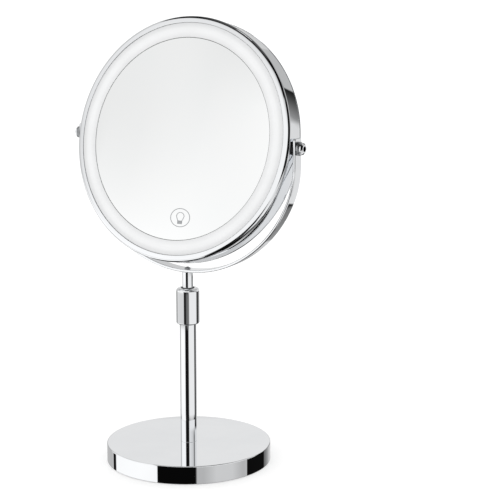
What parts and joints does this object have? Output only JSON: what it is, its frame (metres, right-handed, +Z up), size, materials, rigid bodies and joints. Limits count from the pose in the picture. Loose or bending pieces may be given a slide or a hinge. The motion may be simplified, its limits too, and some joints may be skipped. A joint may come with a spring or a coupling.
{
  "type": "lighted vanity mirror",
  "caption": "Free-standing lighted vanity mirror: round double-sided head with a light ring, turning in a strip yoke on a telescoping stem and weighted disc base.",
  "frame": {"origin": "centre of the underside of the foot pad, on the stem's axis", "axes": "+Z up along the stem; the lighted face looks towards -Y, tilted back 13 degrees at rest; +X along the pivot axis"},
  "size_m": [0.2216, 0.14, 0.377],
  "materials": {
    "chrome": "polished chrome plate on steel",
    "chromed_plastic": "ABS with polished chrome plate",
    "steel": "zinc-plated steel",
    "iron": "rough casting",
    "brass": "turned",
    "soft_pad": "soft foam rubber",
    "dark_rubber": "matt",
    "nylon": "moulded nylon",
    "dark_nylon": "moulded nylon",
    "mirror": "silvered glass",
    "diffuser": "milky acrylic",
    "key_print": "printed line",
    "circuit_board": "solder mask",
    "light_board": "white solder mask",
    "led": "phosphor coat",
    "white_plastic": "moulded",
    "dark_plastic": "moulded",
    "battery_foil": "aluminium pouch foil",
    "red_lead": "insulation",
    "yellow_lead": "insulation",
    "grey_lead": "insulation",
    "black_lead": "insulation"
  },
  "bodies": {
    "base": {"base_cover": "chrome", "base_weight": "iron", "base_plate": "steel", "foot_pad": "soft_pad", "base_screws": "steel", "stem_bolt": "steel", "stem_washer": "steel", "outer_tube": "chrome", "foot_plug": "steel", "thread_ferrule": "steel", "guide_bush": "nylon", "collet": "dark_nylon"},
    "collar": {"collar": "chrome", "collar_gasket": "dark_rubber"},
    "slider": {"stop_bush": "nylon"},
    "rod": {"inner_rod": "chrome", "rod_top_plug": "steel", "rod_end_plug": "steel", "rod_end_screw": "steel", "yoke": "chrome", "yoke_screw": "steel", "arm_bushes": "nylon"},
    "head": {"drum_wall": "chromed_plastic", "front_bezel": "chromed_plastic", "rear_bezel": "chromed_plastic", "front_mirror": "mirror", "mirror_tape": "dark_rubber", "diffuser_ring": "diffuser", "touch_icon": "key_print", "touch_sensor": "circuit_board", "carrier": "white_plastic", "led_board": "light_board", "leds": "led", "control_board": "circuit_board", "board_parts": "dark_plastic", "board_screws": "steel", "battery_cell": "battery_foil", "battery_tape": "white_plastic", "charge_board": "circuit_board", "charge_socket": "steel", "rear_frame": "dark_plastic", "frame_screws": "steel", "rear_gasket": "dark_rubber", "rear_mirror": "mirror", "pivot_inserts": "brass", "pivot_spacers": "dark_nylon", "pivot_washers": "chrome", "pivot_screws": "chrome", "battery_lead": "red_lead", "led_lead": "yellow_lead", "sensor_lead": "grey_lead", "charge_lead": "black_lead"}
  },
  "joints": [
    {"name": "collar_twist", "type": "hinge", "parent": "base", "child": "collar", "pos_m": [0, 0, 0.1347], "axis": [0, 0, 1], "range_deg": [0, 180]},
    {"name": "height_slide", "type": "slide", "parent": "base", "child": "slider", "axis": [0, 0, 1], "range_m": [-0.012, 0.075]},
    {"name": "stem_swivel", "type": "hinge", "parent": "slider", "child": "rod", "pos_m": [0, 0, 0.05], "axis": [0, 0, 1], "continuous": true},
    {"name": "head_tilt", "type": "hinge", "parent": "rod", "child": "head", "pos_m": [0, 0, 0.2754], "axis": [1, 0, 0], "continuous": true}
  ]
}
